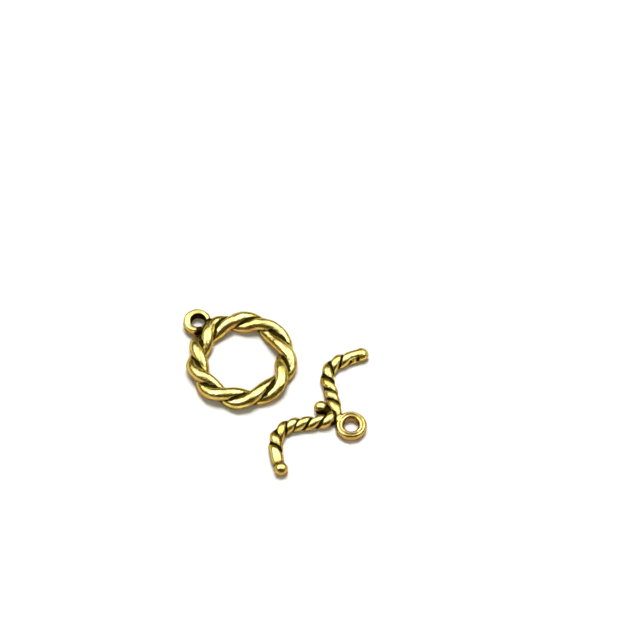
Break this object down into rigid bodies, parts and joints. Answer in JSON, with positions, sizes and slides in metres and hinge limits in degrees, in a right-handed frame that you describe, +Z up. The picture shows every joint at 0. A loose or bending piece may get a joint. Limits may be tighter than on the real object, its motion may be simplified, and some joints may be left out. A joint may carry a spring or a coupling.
{
  "type": "toggle clasp",
  "caption": "Toggle clasp of antiqued gold metal: a ring cast as twisted rope, and a bow-shaped rope bar with beads that passes through the ring and locks. Each half has an eye.",
  "frame": {"origin": "middle of the pair's outline on the surface that it lies on, at the bottom of both halves", "axes": "+Z up from that surface and along the bores of both eyes; +X to the right and +Y away, as the picture shows them"},
  "size_m": [0.0262, 0.0262, 0.0028],
  "materials": {
    "antique_gold": "polished antique gold plate over cast metal, dark in the grooves"
  },
  "bodies": {
    "root": {"toggle_ring": "antique_gold", "toggle_bar": "antique_gold"}
  },
  "joints": []
}
